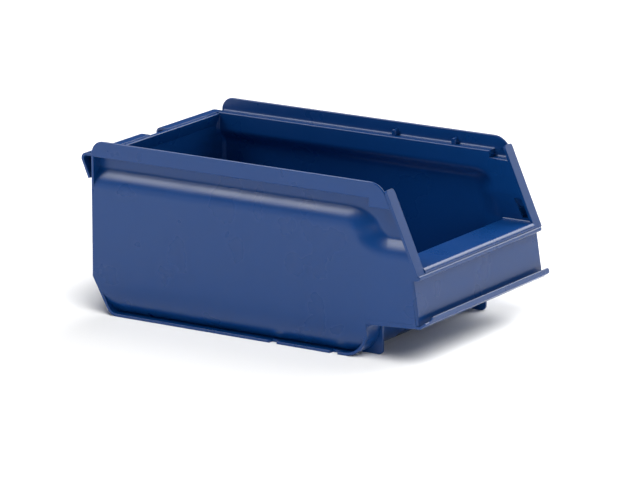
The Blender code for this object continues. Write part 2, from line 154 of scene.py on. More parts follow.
class BinSizes(bpy.types.PropertyGroup):
    """Sizes of the moulding's small features."""

    edge: bpy.props.FloatProperty(
        name="Edge", description="Radius on the moulding's outer edges", default=0.8 * MM, unit="LENGTH"
    )
    full_edge: bpy.props.FloatProperty(
        name="Full edge",
        description="Radius that rounds a wall's edge nearly half round",
        default=1.15 * MM,
        unit="LENGTH",
    )
    fine_edge: bpy.props.FloatProperty(
        name="Fine edge", description="Radius on thin lips", default=0.4 * MM, unit="LENGTH"
    )
    soft_corner: bpy.props.FloatProperty(
        name="Soft corner",
        description="Radius of the upright corners between label panel and cheeks",
        default=1.8 * MM,
        unit="LENGTH",
    )
    fillet: bpy.props.FloatProperty(
        name="Fillet", description="Radius in the inside corners", default=1.6 * MM, unit="LENGTH"
    )
    inside_corner: bpy.props.FloatProperty(
        name="Inside corner",
        description="Radius of the upright corners beside the back wall, inside",
        default=3 * MM,
        unit="LENGTH",
    )
    column: bpy.props.FloatProperty(
        name="Column", description="Spacing of the side wall's columns", default=2.5 * MM, unit="LENGTH"
    )


class BinColours(bpy.types.PropertyGroup):
    """Colours of the moulding and of the studio, as sRGB hex values."""

    plastic: bpy.props.StringProperty(
        name="Plastic", description="Colour of the moulded polypropylene", default="#053873"
    )
    floor: bpy.props.StringProperty(
        name="Floor", description="Colour of the studio floor", default="#F9F9F8"
    )


def linear(hex_colour):
    """An sRGB hex value as a linear colour with alpha."""
    channels = [int(hex_colour[place:place + 2], 16) / 255 for place in (1, 3, 5)]
    bright = [c / 12.92 if c <= 0.04045 else ((c + 0.055) / 1.055) ** 2.4 for c in channels]
    return (*bright, 1.0)


def add_node(tree, kind, settings=None, values=None, links=None):
    """Adds a shader node with its settings, its socket values and the sockets that feed it."""
    node = tree.nodes.new(kind)
    for name, value in (settings or {}).items():
        setattr(node, name, value)
    for socket, value in (values or {}).items():
        node.inputs[socket].default_value = value
    for socket, source in (links or {}).items():
        tree.links.new(source, node.inputs[socket])
    return node


def moulded_polypropylene():
    """Injection moulded polypropylene, dyed through, from a mould with a fine spark-eroded finish.

    The eye gets a deep blue with a soft satin sheen, broad highlights and an even, very fine grain.
    """
    material = bpy.data.materials.get("moulded_polypropylene")
    if material:
        return material
    colours = bpy.context.scene.bin_colours
    material = bpy.data.materials.new("moulded_polypropylene")
    material.use_nodes = True
    tree = material.node_tree
    shader = tree.nodes["Principled BSDF"]
    place = add_node(tree, "ShaderNodeTexCoord").outputs["Object"]
    # Spark erosion leaves pits about 0.1 mm across; 0.5 mm is as fine as shows.
    grain = add_node(
        tree, "ShaderNodeTexNoise", values={"Scale": 1 / (0.5 * MM), "Detail": 2.0}, links={"Vector": place}
    )
    # Flow and shrinkage vary the sheen over patches about 40 mm across.
    flow = add_node(
        tree, "ShaderNodeTexNoise", values={"Scale": 1 / (40 * MM), "Detail": 3.0}, links={"Vector": place}
    )
    sheen = add_node(
        tree,
        "ShaderNodeMapRange",
        values={"From Min": 0.3, "From Max": 0.7, "To Min": 0.26, "To Max": 0.32},
        links={"Value": flow.outputs["Fac"]},
    )
    base = linear(colours.plastic)
    tint = add_node(
        tree,
        "ShaderNodeMix",
        settings={"data_type": "RGBA"},
        values={"A": [c * 0.94 for c in base[:3]] + [1.0], "B": [c * 1.06 for c in base[:3]] + [1.0]},
        links={"Factor": flow.outputs["Fac"]},
    )
    bump = add_node(
        tree,
        "ShaderNodeBump",
        values={"Strength": 0.12, "Distance": 0.05 * MM},
        links={"Height": grain.outputs["Fac"]},
    )
    tree.links.new(tint.outputs["Result"], shader.inputs["Base Color"])
    tree.links.new(sheen.outputs["Result"], shader.inputs["Roughness"])
    tree.links.new(bump.outputs["Normal"], shader.inputs["Normal"])
    shader.inputs["IOR"].default_value = 1.49
    shader.inputs["Specular IOR Level"].default_value = 0.38
    return material


def as_piece(name, shape, replaced):
    """Turns a finished mesh into a piece that rides on the bin and stands for its frame nodes."""
    mesh = bpy.data.meshes.new(name)
    shape.to_mesh(mesh)
    shape.free()
    mesh.shade_smooth()
    mesh.set_sharp_from_angle(angle=math.radians(40))
    mesh.materials.append(moulded_polypropylene())
    piece = bpy.data.objects.new(name, mesh)
    bpy.context.scene.collection.objects.link(piece)
    weighted = piece.modifiers.new("flat_faces_stay_flat", "WEIGHTED_NORMAL")
    weighted.keep_sharp = True
    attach(piece, BODY)
    if replaced:
        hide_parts(*replaced)
    return piece


def in_space(axis, point, level):
    """A point of an outline drawn square to an axis, at a level along it."""
    a, b = point
    return {"X": (level, a, b), "Y": (a, level, b), "Z": (a, b, level)}[axis]


def prism(shape, axis, outline, start, end, edge=0.0, where=None):
    """Adds to a mesh an outline made solid along an axis, with some of its outer edges rounded."""
    near = [in_space(axis, point, start) for point in outline]
    far = [in_space(axis, point, end) for point in outline]
    solid = rings_solid([near, far])
    if edge:
        round_edges(solid, edge, where)
    add_mesh(shape, solid)


def rings_solid(rings):
    """A closed mesh through a row of rings of points with the same layout."""
    solid = bmesh.new()
    rows = [[solid.verts.new(point) for point in ring] for ring in rings]
    solid.faces.new(rows[0])
    solid.faces.new(rows[-1])
    for ring, following in zip(rows, rows[1:]):
        for index in range(len(ring)):
            solid.faces.new((ring[index - 1], ring[index], following[index], following[index - 1]))
    bmesh.ops.recalc_face_normals(solid, faces=solid.faces)
    return solid


def round_edges(solid, edge, where=None):
    """Rounds the outer edges that turn by more than 25 degrees and whose middles pass a test."""
    turning = [
        e for e in solid.edges
        if e.calc_face_angle_signed(0) > math.radians(25)
        and (where is None or where((e.verts[0].co + e.verts[1].co) / 2))
    ]
    bmesh.ops.bevel(
        solid, geom=turning, offset=edge, segments=3, profile=0.5, affect="EDGES", clamp_overlap=True
    )


def add_mesh(shape, solid):
    """Moves a solid's faces into a bigger mesh."""
    copied = bpy.data.meshes.new("part")
    solid.to_mesh(copied)
    solid.free()
    shape.from_mesh(copied)
    bpy.data.meshes.remove(copied)


def arc(centre, radius, start, end, steps=6, rise=None):
    """Points on a circle or an ellipse round a centre, between two angles in degrees."""
    rise = radius if rise is None else rise
    angles = [math.radians(start + (end - start) * step / steps) for step in range(steps + 1)]
    return [(centre[0] + radius * math.cos(a), centre[1] + rise * math.sin(a)) for a in angles]


def smooth(share):
    """Eases from 0 to 1 with level ends."""
    share = np.clip(share, 0, 1)
    return share * share * (3 - 2 * share)


def rim_y(z):
    """Front face of the sloping rim at a height."""
    return RIM_FOOT + RIM_LEAN * z


def label_y(z):
    """Front face of the label panel at a height."""
    share = (SHELF_TOP - WALL - z) / (SHELF_TOP - WALL - LIP_BOTTOM)
    return LABEL_TOP + (LABEL_BOTTOM - LABEL_TOP) * share


def round_union(a, b, radius):
    """Distance outside two joined regions, with the inside corner between them filled."""
    corner = np.hypot(np.maximum(radius - a, 0), np.maximum(radius - b, 0))
    return np.maximum(radius, np.minimum(a, b)) - corner


def round_overlap(a, b, radius):
    """Distance outside the region that two others share, with its corner rounded."""
    corner = np.hypot(np.maximum(radius + a, 0), np.maximum(radius + b, 0))
    return np.minimum(-radius, np.maximum(a, b)) + corner


def outer_half_width(y, z):
    """The side wall's outer face: rounded haunch, flat side, then a full shoulder up to the waist."""
    step_slope, convex_turn, concave_turn, fullness = 0.65, 20 * MM, 8 * MM, 1.8
    upper = round_overlap(z - SHOULDER_HEAD, step_slope * (SHOULDER_STEP - y), convex_turn)
    past = round_union(z - FRONT_SHOULDER_HEAD, upper, concave_turn)
    depth = SIDE - WAIST
    shoulder = depth * np.clip(1 + past / SHOULDER_DEPTH, 0, None) ** fullness
    blend = 1.2 * MM
    near = np.maximum(1 - np.abs(shoulder - depth) / blend, 0)
    shoulder = np.minimum(shoulder, depth) - near * near * blend / 4
    drop = np.clip((HAUNCH_TOP - z) / (HAUNCH_TOP - WALL), 0, 1)
    haunch = HAUNCH_DEPTH * (1 - np.sqrt(1 - drop * drop))
    flare = np.clip(1 - (z - WALL) / FLARE, 0, 1)
    return SIDE - shoulder - haunch + FLARE * flare * flare


def inner_half_width(y, z):
    """The side wall's inner face, thicker beside the shelf and with rounded corners at the back."""
    radius = bpy.context.scene.bin_sizes.inside_corner
    wide = SIDE - WALL
    narrow = WAIST - WALL
    lean = np.clip((FRONT_SHOULDER_HEAD - z) / (FRONT_SHOULDER_HEAD - SHELF_TOP), 0, 1)
    face = narrow + (SHELF_SIDE - narrow) * lean
    # The thick part ends in a leaning corner behind the shelf, no farther back than this station.
    rearmost, corner_lean, step_slope, reach = -127 * MM, 0.3, 0.6, 14 * MM
    corner_y = np.minimum(SHELF_REAR + WALL + corner_lean * np.maximum(z - SHELF_TOP, 0), rearmost)
    past = round_overlap(z - SHOULDER_HEAD + 1.5 * MM, step_slope * (corner_y - y), reach)
    width = wide - (wide - face) * smooth(past / reach + 1)
    under_shelf = (z < SHELF_TOP - WALL) & (y < inner_front_y(z) - WALL / 2)
    width = np.where(under_shelf, wide, width)
    back = np.clip((y - (REAR - WALL - radius)) / radius, 0, 1)
    width = width - radius * (1 - np.sqrt(1 - back * back))
    return np.minimum(width, outer_half_width(y, z) - WALL)


def inner_front_y(z):
    """Inside face of the leaning wall between the prow and the shelf."""
    share = (z - PROW_TOP) / (SHELF_TOP - PROW_TOP)
    return PROW_FRONT + WALL + (SHELF_REAR - PROW_FRONT) * share


def wall_front_y(z):
    """The side wall's front end: behind the label panel, the lower bead and the sloping rim."""
    panel = label_y(BEAD_FOOT) + WALL
    rim = rim_y(BEAD_TOP) + RIM_BACK
    beside_bead = panel + (rim - panel) * (z - BEAD_FOOT) / (BEAD_TOP - BEAD_FOOT)
    lower = np.where(z < BEAD_FOOT, label_y(z) + WALL, beside_bead)
    return np.where(z < BEAD_TOP, lower, rim_y(z) + RIM_BACK)


def wall_rear_y(z):
    """The side wall's rear end: against the back wall, then inside the rear slope."""
    below = np.clip((HAUNCH_TOP - z) / HAUNCH_TOP, 0, 1)
    return REAR - WALL - (REAR - SLOPE_FOOT) * below + WALL / 2 * np.minimum(4 * below, 1)


def hem_z(y):
    """The underside of the hem along the cheek's foot."""
    ahead = np.clip((PROW_FRONT - y) / (PROW_FRONT - label_y(LIP_BOTTOM)), 0, 1)
    return PROW_TOP + (LIP_BOTTOM - PROW_TOP) * ahead


def wall_foot_z(y):
    """The side wall's lower end: inside the floor and the prow, then on top of the cheek's hem."""
    reach = np.clip((PROW_START - y) / (PROW_START - PROW_FRONT - WALL / 2), 0, 1)
    prow = PROW_TOP - (PROW_TOP - WALL / 2) * np.sqrt(1 - reach * reach)
    return np.where(y > PROW_FRONT + WALL / 2, prow, hem_z(y) + HEM_HEIGHT)


def step_share():
    """Where along the wall, from 0 at the back to 1 at the front, its top steps down."""
    back, front = REAR - WALL, wall_front_y(LOW_LEDGE_TOP - WALL)
    return (back - LEDGE_STEP) / (back - front)


def wall_grid():
    """Columns of (y, z) points that fill the side wall's outline."""
    sizes = bpy.context.scene.bin_sizes
    head, low_head = LEDGE_TOP - WALL, LOW_LEDGE_TOP - WALL
    step = step_share()
    length = REAR - WALL - BEAD_FRONT
    shares = set(np.linspace(0, 1, int(length / sizes.column)))
    near_prow = (REAR - PROW_START) / length, (REAR - PROW_FRONT + 2 * MM) / length
    shares |= set(np.linspace(*near_prow, 24))
    beside_step = 0.0002
    shares |= {step - beside_step, step + beside_step}
    shares = np.array(sorted(shares))
    # Below the middle the rows follow the wall's foot, and above the shoulder they follow its top.
    middle, shoulder = 62 * MM, 118 * MM
    turns = np.linspace(0, math.pi / 2, 14)
    levels = list(HAUNCH_TOP - (HAUNCH_TOP - WALL / 2) * np.cos(turns))
    levels += list(np.arange(HAUNCH_TOP + 5 * MM, middle, 5 * MM)) + [middle, 67 * MM, 71 * MM]
    levels += [BEAD_FOOT, (BEAD_FOOT + BEAD_TOP) / 2, BEAD_TOP, SHELF_TOP - WALL, SHELF_TOP]
    levels += list(np.arange(SHELF_TOP + 2 * MM, SHOULDER_HEAD + 2 * MM, 1.5 * MM))
    levels = np.array(levels + [SHOULDER_HEAD + 6 * MM, head])

    def station(share, z):
        return wall_rear_y(z) + (wall_front_y(z) - wall_rear_y(z)) * share

    # The foot's height depends on its station and its station on the height, so a few rounds settle both.
    foot = np.full_like(shares, WALL)
    for _ in range(12):
        foot = wall_foot_z(station(shares, foot))
    tops = np.where(shares < step, head, low_head)
    foot, tops, levels = foot[:, None], tops[:, None], levels[None, :]
    below = foot + (levels - levels[0, 0]) * (middle - foot) / (middle - levels[0, 0])
    above = shoulder + (levels - shoulder) * (tops - shoulder) / (head - shoulder)
    z = np.where(levels < middle, below, np.where(levels > shoulder, above, levels))
    return station(shares[:, None], z), z


def grid_solid(outer, inner):
    """A closed mesh between two grids of points with the same layout."""
    columns, rows = outer.shape[:2]
    points = np.concatenate([outer.reshape(-1, 3), inner.reshape(-1, 3)])
    shape = bmesh.new()
    verts = [shape.verts.new(point) for point in points]
    offset = columns * rows

    def vert(column, row, layer):
        return verts[column * rows + row + layer * offset]

    for column in range(columns - 1):
        for row in range(rows - 1):
            corners = ((column, row), (column + 1, row), (column + 1, row + 1), (column, row + 1))
            shape.faces.new([vert(*corner, 0) for corner in corners])
            shape.faces.new([vert(*corner, 1) for corner in reversed(corners)])
    border = [(column, 0) for column in range(columns)]
    border += [(columns - 1, row) for row in range(1, rows)]
    border += [(column, rows - 1) for column in range(columns - 2, -1, -1)]
    border += [(0, row) for row in range(rows - 2, 0, -1)]
    for here, there in zip(border, border[1:] + border[:1]):
        shape.faces.new((vert(*here, 0), vert(*here, 1), vert(*there, 1), vert(*there, 0)))
    bmesh.ops.recalc_face_normals(shape, faces=shape.faces)
    return shape


def cut(piece, cutter_shape):
    """Cuts a solid out of a piece and applies the cut."""
    mesh = bpy.data.meshes.new("cutter")
    cutter_shape.to_mesh(mesh)
    cutter_shape.free()
    cutter = bpy.data.objects.new("cutter", mesh)
    bpy.context.scene.collection.objects.link(cutter)
    boolean = piece.modifiers.new("cut", "BOOLEAN")
    boolean.solver = "EXACT"
    boolean.object = cutter
    piece.modifiers.move(len(piece.modifiers) - 1, 0)
    with bpy.context.temp_override(object=piece, active_object=piece):
        bpy.ops.object.modifier_apply(modifier=boolean.name)
    bpy.data.objects.remove(cutter, do_unlink=True)
    piece.data.set_sharp_from_angle(angle=math.radians(40))


class BIN_OT_side_walls(bpy.types.Operator):
    """Adds the two bulged side walls, each with the pocket beside its sloping rim"""

    bl_idname = "bin.side_walls"
    bl_label = "Side walls"

    def execute(self, context):
        y, z = wall_grid()
        start, end = WALL + 1.4 * MM, WALL + 8.4 * MM
        hidden_end = end + 5 * MM
        mouth = RIM_INNER - 3 * WALL
        # Each cut has a foot and a head, two depths across the wall and a rear end behind the rim.
        pockets = (
            (86.8 * MM, 97 * MM, mouth, 99.5 * MM, end),
            (96 * MM, 104 * MM, mouth, 95.3 * MM, end),
            (86.8 * MM, 95 * MM, 95.5 * MM, 101.5 * MM, hidden_end),
        )
        for side, sign in SIDES.items():
            outer = np.stack([sign * outer_half_width(y, z), y, z], axis=-1)
            inner = np.stack([sign * inner_half_width(y, z), y, z], axis=-1)
            replaced = [f"{side}_{part}" for part in ("side_panel", "shoulder", "waist_wall")]
            replaced += [f"{side}_{place}_haunch" for place in ("lower", "middle", "upper")]
            piece = as_piece(f"{side}_wall_moulding", grid_solid(outer, inner), replaced)
            for foot, head, shallow, deep, back in pockets:
                pocket = [
                    (rim_y(foot) + start, foot),
                    (rim_y(head) + start, head),
                    (rim_y(head) + back, head),
                    (rim_y(foot) + back, foot),
                ]
                cutter = bmesh.new()
                prism(cutter, "X", pocket, sign * shallow, sign * deep)
                cut(piece, cutter)
        return {"FINISHED"}


def base_outline(inset):
    """The side outline of rear slope, floor and prow, a given distance inside its outer face."""
    slope = (REAR - SLOPE_FOOT) / HAUNCH_TOP
    foot = SLOPE_FOOT - inset * (math.hypot(1, slope) - slope)
    corner = 7 * MM
    along = math.hypot(slope, 1)
    points = [(REAR - inset, HAUNCH_TOP + inset)]
    points.append((foot + corner * slope / along, inset + corner / along))
    for share in (0.25, 0.5, 0.75):
        rise = (1 - share) ** 2 * corner / along
        points.append((foot + (1 - share) ** 2 * corner * slope / along - share ** 2 * corner, inset + rise))
    points.append((foot - corner, inset))
    centre = (PROW_START, PROW_TOP - 3.5 * MM)
    reach = PROW_START - PROW_FRONT - inset
    points += arc(centre, reach, -90, -180, steps=16, rise=centre[1] - inset)
    points.append((PROW_FRONT + inset, PROW_TOP + inset))
    return points


class BIN_OT_base(bpy.types.Operator):
    """Adds the floor with its rear slope, its prow and the notched runners at its two edges"""

    bl_idname = "bin.base"
    bl_label = "Base and runners"

    def execute(self, context):
        sizes = context.scene.bin_sizes
        shape = bmesh.new()
        outline = base_outline(0) + list(reversed(base_outline(WALL)))
        solid = rings_solid([[(sign * RUNNER_EDGE, y, z) for y, z in outline] for sign in (-1, 1)])
        widening = SIDE - sizes.fine_edge - RUNNER_EDGE
        for vert in solid.verts:
            vert.co.x *= 1 + widening / RUNNER_EDGE * min(vert.co.z / HAUNCH_TOP, 1)
        round_edges(solid, sizes.fine_edge)
        add_mesh(shape, solid)
        replaced = ["floor_panel", "rear_slope_panel", "front_prow_panel"]
        replaced += [f"{side}_stacking_runner" for side in SIDES]
        piece = as_piece("base_moulding", shape, replaced)
        # A notch over each nub of the bin below, slightly narrower inside.
        cutter = bmesh.new()
        length, depth, taper = 9 * MM, 5 * MM, MM
        for side, sign in SIDES.items():
            for place in ("rear", "front"):
                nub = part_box(f"{side}_{place}_nub")
                station = (nub[0].y + nub[1].y) / 2
                notch = [
                    (sign * (RUNNER_EDGE + depth), station - length / 2),
                    (sign * (RUNNER_EDGE - depth), station - length / 2 + taper),
                    (sign * (RUNNER_EDGE - depth), station + length / 2 - taper),
                    (sign * (RUNNER_EDGE + depth), station + length / 2),
                ]
                prism(cutter, "Z", notch, -WALL, 2 * WALL)
        cut(piece, cutter)
        return {"FINISHED"}


class BIN_OT_rails(bpy.types.Operator):
    """Adds the stacking ledges, the raised flanges beside them and the nubs on them"""

    bl_idname = "bin.rails"
    bl_label = "Ledges and flanges"

    def execute(self, context):
        sizes = context.scene.bin_sizes
        rear_radius, front_radius = 12 * MM, 18 * MM
        ledge_foot = LEDGE_TOP - WALL
        step_back = REAR - WALL - (REAR - WALL - wall_front_y(ledge_foot)) * step_share()
        low_end = rim_y(LOW_LEDGE_TOP) + WALL
        ledge_inner = WAIST - WALL
        for side, sign in SIDES.items():
            flange = [(REAR, LEDGE_TOP - WALL)]
            flange += arc((REAR - rear_radius, FLANGE_TOP - rear_radius), rear_radius, 0, 90, steps=10)
            flange += front_corner(front_radius)
            flange += [
                (rim_y(FLANGE_LOW_FOOT) + RIM_BACK, FLANGE_LOW_FOOT),
                (FLANGE_STEP, FLANGE_LOW_FOOT),
                (FLANGE_STEP, LEDGE_TOP - WALL),
            ]
            shape = bmesh.new()
            prism(shape, "X", flange, sign * FLANGE_INNER, sign * SIDE, sizes.full_edge)
            as_piece(f"{side}_flange_moulding", shape, [f"{side}_stacking_flange"])
            ledge = [
                (REAR - WALL, ledge_foot),
                (REAR - WALL, LEDGE_TOP),
                (LEDGE_STEP, LEDGE_TOP),
                (LEDGE_STEP, LOW_LEDGE_TOP),
                (low_end, LOW_LEDGE_TOP),
                (low_end, LOW_LEDGE_TOP - WALL),
                (LEDGE_STEP, LOW_LEDGE_TOP - WALL),
                (step_back, ledge_foot),
            ]

            def along_top(middle):
                on_top = min(abs(middle.z - LEDGE_TOP), abs(middle.z - LOW_LEDGE_TOP)) < 0.1 * MM
                return on_top and abs(middle.x) < ledge_inner + 0.1 * MM

            shape = bmesh.new()
            ends = sign * ledge_inner, sign * (FLANGE_INNER + WALL / 2)
            prism(shape, "X", ledge, *ends, sizes.edge, along_top)
            for top, start, end in (
                (LEDGE_TOP, REAR - 3 * MM, LEDGE_STEP),
                (LOW_LEDGE_TOP, LEDGE_STEP, low_end),
            ):
                prism(shape, "Y", fillet_section(sign, FLANGE_INNER, top, sizes.fillet), start, end)
            as_piece(f"{side}_ledge_moulding", shape, [f"{side}_ledge"])
            for place in ("rear", "front"):
                name = f"{side}_{place}_nub"
                box_low, box_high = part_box(name)
                half = NUB_LENGTH / 2
                station = (box_low.y + box_high.y) / 2
                nub = [(station + half, LEDGE_TOP - WALL / 2)]
                nub += arc((station, NUB_TOP - half), half, 0, 180, steps=12)
                nub += [(station - half, LEDGE_TOP - WALL / 2)]
                shape = bmesh.new()
                prism(shape, "X", nub, sign * NUB_INNER, sign * (FLANGE_INNER + MM), sizes.edge)
                as_piece(f"{name}_moulding", shape, [name])
        return {"FINISHED"}


def front_corner(radius):
    """The flange's front corner, turning from level to the slope of the rim's back."""
    lean = math.atan2(1, RIM_LEAN)
    end = math.degrees(lean) + 90
    centre_z = FLANGE_TOP - radius
    centre_y = rim_y(centre_z) + RIM_BACK + radius / math.sin(lean)
    return arc((centre_y, centre_z), radius, 90, end, steps=12)


def fillet_section(sign, wall_x, floor_z, radius):
    """The (x, z) section of a hollow fillet between a level face and an upright one outside it."""
    sunk = 0.4 * MM
    centre = (wall_x - radius, floor_z + radius)
    section = arc(centre, radius, -90, 0, steps=6)
    section += [(wall_x + sunk, floor_z + radius), (wall_x + sunk, floor_z - sunk)]
    section += [(wall_x - radius, floor_z - sunk)]
    return [(sign * x, z) for x, z in section]


class BIN_OT_front_rims(bpy.types.Operator):
    """Adds the two sloping lands that frame the open front, with their rounded heads"""

    bl_idname = "bin.front_rims"
    bl_label = "Front rims"

    def execute(self, context):
        sizes = context.scene.bin_sizes
        lean = math.atan(RIM_LEAN)
        along = Vector((0, math.sin(lean), math.cos(lean)))
        across = Vector((0, math.cos(lean), -math.sin(lean)))
        foot = Vector((0, rim_y(BEAD_TOP), BEAD_TOP))
        length = (RIM_HEAD - BEAD_TOP) / math.cos(lean)
        inner_radius, outer_radius = 4 * MM, 2.5 * MM
        for side, sign in SIDES.items():
            land = [(RIM_INNER, 0), (SIDE, 0)]
            land += arc((SIDE - outer_radius, length - outer_radius), outer_radius, 0, 90)
            land += arc((RIM_INNER + inner_radius, length - inner_radius), inner_radius, 90, 180)
            rings = []
            for depth in (0, WALL):
                rings.append([
                    tuple(Vector((sign * x, 0, 0)) + foot + along * rise + across * depth)
                    for x, rise in land
                ])
            solid = rings_solid(rings)

            def in_front_or_inside(middle):
                behind = middle.y - rim_y(middle.z) > RIM_BACK / 2
                return middle.z > BEAD_TOP + MM and not (behind and abs(middle.x) > SIDE - MM)

            round_edges(solid, sizes.full_edge, in_front_or_inside)
            as_piece(f"{side}_rim_moulding", solid, [f"{side}_front_rim"])
        return {"FINISHED"}


def bar_outline(front, back, foot, head, head_radius, foot_radius):
    """A bar's (y, z) outline with a rounded front."""
    points = [(back, foot), (back, head)]
    points += arc((front + head_radius, head - head_radius), head_radius, 90, 180, steps=9)
    points += arc((front + foot_radius, foot + foot_radius), foot_radius, 180, 270, steps=5)
    return points


class BIN_OT_front(bpy.types.Operator):
    """Adds the leaning inner wall, the shelf, the double bead and the label panel under it"""

    bl_idname = "bin.front"
    bl_label = "Front shelf and beads"

    def execute(self, context):
        sizes = context.scene.bin_sizes
        inside = SIDE - WALL / 2
        wall = [
            (PROW_FRONT, PROW_TOP - WALL),
            (PROW_FRONT + WALL, PROW_TOP - WALL),
            (SHELF_REAR + WALL, SHELF_TOP - WALL / 2),
            (SHELF_REAR, SHELF_TOP - WALL / 2),
        ]
        shape = bmesh.new()
        prism(shape, "X", wall, -inside, inside)
        as_piece("inner_front_moulding", shape, ["inner_front_wall"])
        round_back = 2 * MM
        shelf = [(BEAD_BACK, SHELF_TOP - WALL), (BEAD_BACK, SHELF_TOP)]
        shelf += arc((SHELF_REAR + WALL - round_back, SHELF_TOP - round_back), round_back, 90, 0)
        shelf += [(SHELF_REAR + WALL, SHELF_TOP - WALL)]
        shape = bmesh.new()
        prism(shape, "X", shelf, -inside, inside)
        for sign in SIDES.values():
            section = fillet_section(sign, SHELF_SIDE, SHELF_TOP, sizes.fillet)
            prism(shape, "Y", section, SHELF_REAR + WALL, rim_y(SHELF_TOP) + WALL)
        as_piece("shelf_moulding", shape, ["front_shelf"])
        shape = bmesh.new()
        head_radius, foot_radius = 3.4 * MM, 2 * MM
        upper = bar_outline(
            BEAD_FRONT + MM, BEAD_BACK, BEAD_TOP - MM, UPPER_BEAD_TOP, head_radius, foot_radius
        )
        prism(shape, "X", upper, -RIM_INNER, RIM_INNER)
        as_piece("upper_bead_moulding", shape, ["upper_front_bead"])
        stations = SIDE - BEAD_END_RADIUS * (1 - np.sin(np.linspace(0, math.pi / 2, 8)))
        stations = [*-stations[::-1], *stations]
        rings = [[(x, y, z) for y, z in lower_bead_section(x)] for x in stations]
        as_piece("lower_bead_moulding", rings_solid(rings), ["lower_front_bead"])
        panel = [
            (label_y(BEAD_FOOT), BEAD_FOOT),
            (label_y(LIP_BOTTOM), LIP_BOTTOM + WALL),
            (label_y(LIP_BOTTOM) + WALL, LIP_BOTTOM + WALL),
            (label_y(BEAD_FOOT) + WALL, BEAD_FOOT),
        ]

        def at_cheek(middle):
            return abs(middle.x) > SIDE - MM and middle.y < label_y(middle.z) + WALL / 2

        shape = bmesh.new()
        prism(shape, "X", panel, -SIDE, SIDE, sizes.soft_corner, at_cheek)
        as_piece("label_panel_moulding", shape, ["label_panel"])
        return {"FINISHED"}


def lower_bead_section(x):
    """The (y, z) section of the lower bead, drawn back where its ends are rounded in plan."""
    past = max(abs(x) - (SIDE - BEAD_END_RADIUS), 0) / BEAD_END_RADIUS
    front = BEAD_FRONT + BEAD_END_RADIUS * (1 - math.sqrt(max(1 - past * past, 0)))
    back = rim_y(BEAD_TOP) + RIM_BACK
    radius = min(1.7 * MM, 0.8 * (back - front))
    section = [(label_y(BEAD_FOOT) + WALL, BEAD_FOOT), (back, BEAD_TOP)]
    section += arc((front + radius, BEAD_TOP - radius), radius, 90, 180)
    return section + arc((front + radius, BEAD_FOOT + radius), radius, 180, 270)


class BIN_OT_label_lip(bpy.types.Operator):
    """Adds the lip that holds a label card, its low entry at the left and the hems of the cheeks"""

    bl_idname = "bin.label_lip"
    bl_label = "Label lip"

    def execute(self, context):
        sizes = context.scene.bin_sizes
        near_end = np.linspace(LIP_LEFT_END - 5 * MM, LIP_LEFT_END + 4 * MM, 10)
        far_end = SIDE - 2.5 * MM * (1 - np.sin(np.linspace(0, math.pi / 2, 6)))
        stations = [-SIDE, -SIDE + 0.4 * MM, *near_end, *far_end]
        rings = [[(x, y, z) for y, z in lip_section(lip_crest(x))] for x in stations]
        solid = rings_solid(rings)
        as_piece("label_lip_moulding", solid, ["label_lip", "label_lip_entry"])
        hem_width = 9 * MM
        rear, front = PROW_FRONT + WALL, label_y(LIP_BOTTOM) + WALL
        hem = [
            (rear, hem_z(rear)),
            (rear, hem_z(rear) + HEM_HEIGHT),
            (front, hem_z(front) + HEM_HEIGHT),
            (front, hem_z(front)),
        ]
        for side, sign in SIDES.items():
            shape = bmesh.new()
            prism(shape, "X", hem, sign * (SIDE - hem_width), sign * SIDE, sizes.fine_edge)
            as_piece(f"{side}_hem_moulding", shape, [f"{side}_cheek_skirt"])
        return {"FINISHED"}


def lip_crest(x):
    """Height of the lip's crest: low at the entry, then ramping up, and rounded off at the far end."""
    ramp = smooth((x - LIP_LEFT_END + 4 * MM) / (7 * MM))
    corner = 2.5 * MM
    past = min(max(x - (SIDE - corner), 0) / corner, 1)
    return ENTRY_CREST + (LIP_TOP - ENTRY_CREST) * ramp - corner * (1 - math.sqrt(1 - past * past))


def lip_section(crest):
    """The (y, z) section of the lip: out from the panel's foot, then up to a rounded crest."""
    knee = min(39 * MM, crest - 1.6 * MM)
    inner_knee = min(40.5 * MM, crest - 1.1 * MM)
    radius = MM
    section = arc((LIP_FOOT_FRONT + radius, LIP_BOTTOM + radius), radius, 215, 270, steps=3)
    back = label_y(LIP_BOTTOM) + WALL
    section += [(back, LIP_BOTTOM), (back, LIP_BOTTOM + WALL)]
    section += [(LIP_FOOT_FRONT + 1.5 * MM, LIP_BOTTOM + WALL), (FRONT + 2 * radius, inner_knee)]
    section += arc((FRONT + radius, crest - radius), radius, 0, 180, steps=6)
    return section + [(FRONT, knee)]


